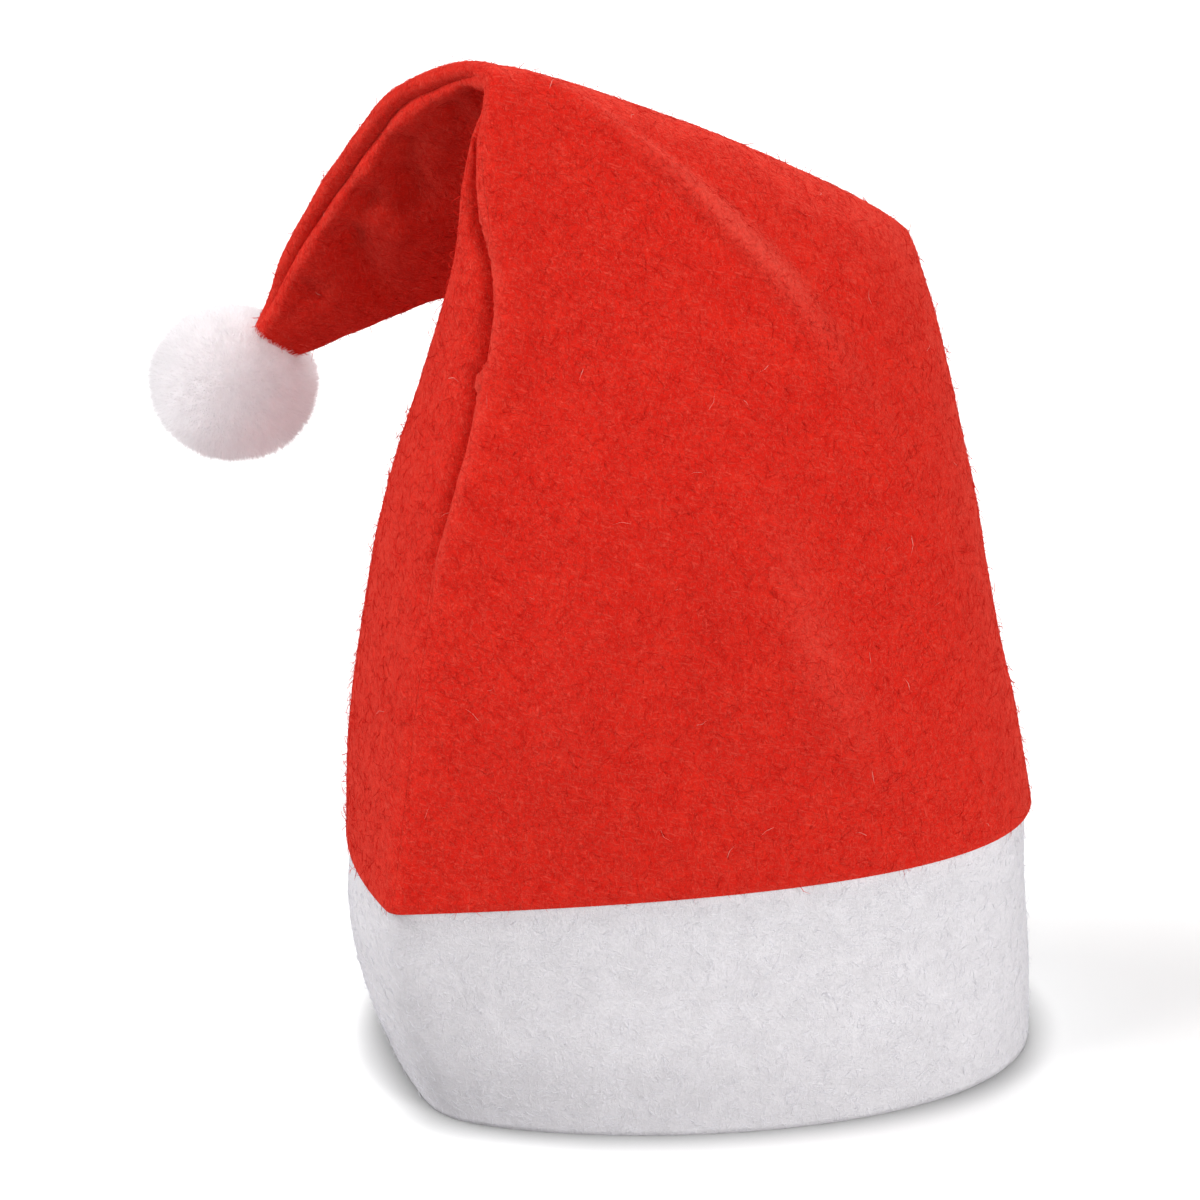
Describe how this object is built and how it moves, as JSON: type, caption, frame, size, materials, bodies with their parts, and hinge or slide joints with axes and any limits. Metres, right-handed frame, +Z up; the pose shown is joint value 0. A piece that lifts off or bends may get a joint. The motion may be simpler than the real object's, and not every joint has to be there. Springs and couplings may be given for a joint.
{
  "type": "santa hat",
  "caption": "Tall two-panel felt hat folded over backward at the top, with a plain straight band and a fluffy pompom on its tip.",
  "frame": {"origin": "on the surface that the hat stands on, under the middle of its bounding box", "axes": "+Z up through the crown, +Y towards the back, where the flap hangs, +X towards the wearer's left, away from the pompom"},
  "size_m": [0.275, 0.1574, 0.3157],
  "materials": {
    "red_felt": "matt needle-punched felt with fine random fibres",
    "white_felt": "matt needle-punched felt with faint mottling",
    "white_fluff": "soft dense short fibres"
  },
  "bodies": {
    "root": {"crown_front_panel": "red_felt", "crown_back_panel": "red_felt", "band": "white_felt", "pompom": "white_fluff"}
  },
  "joints": []
}
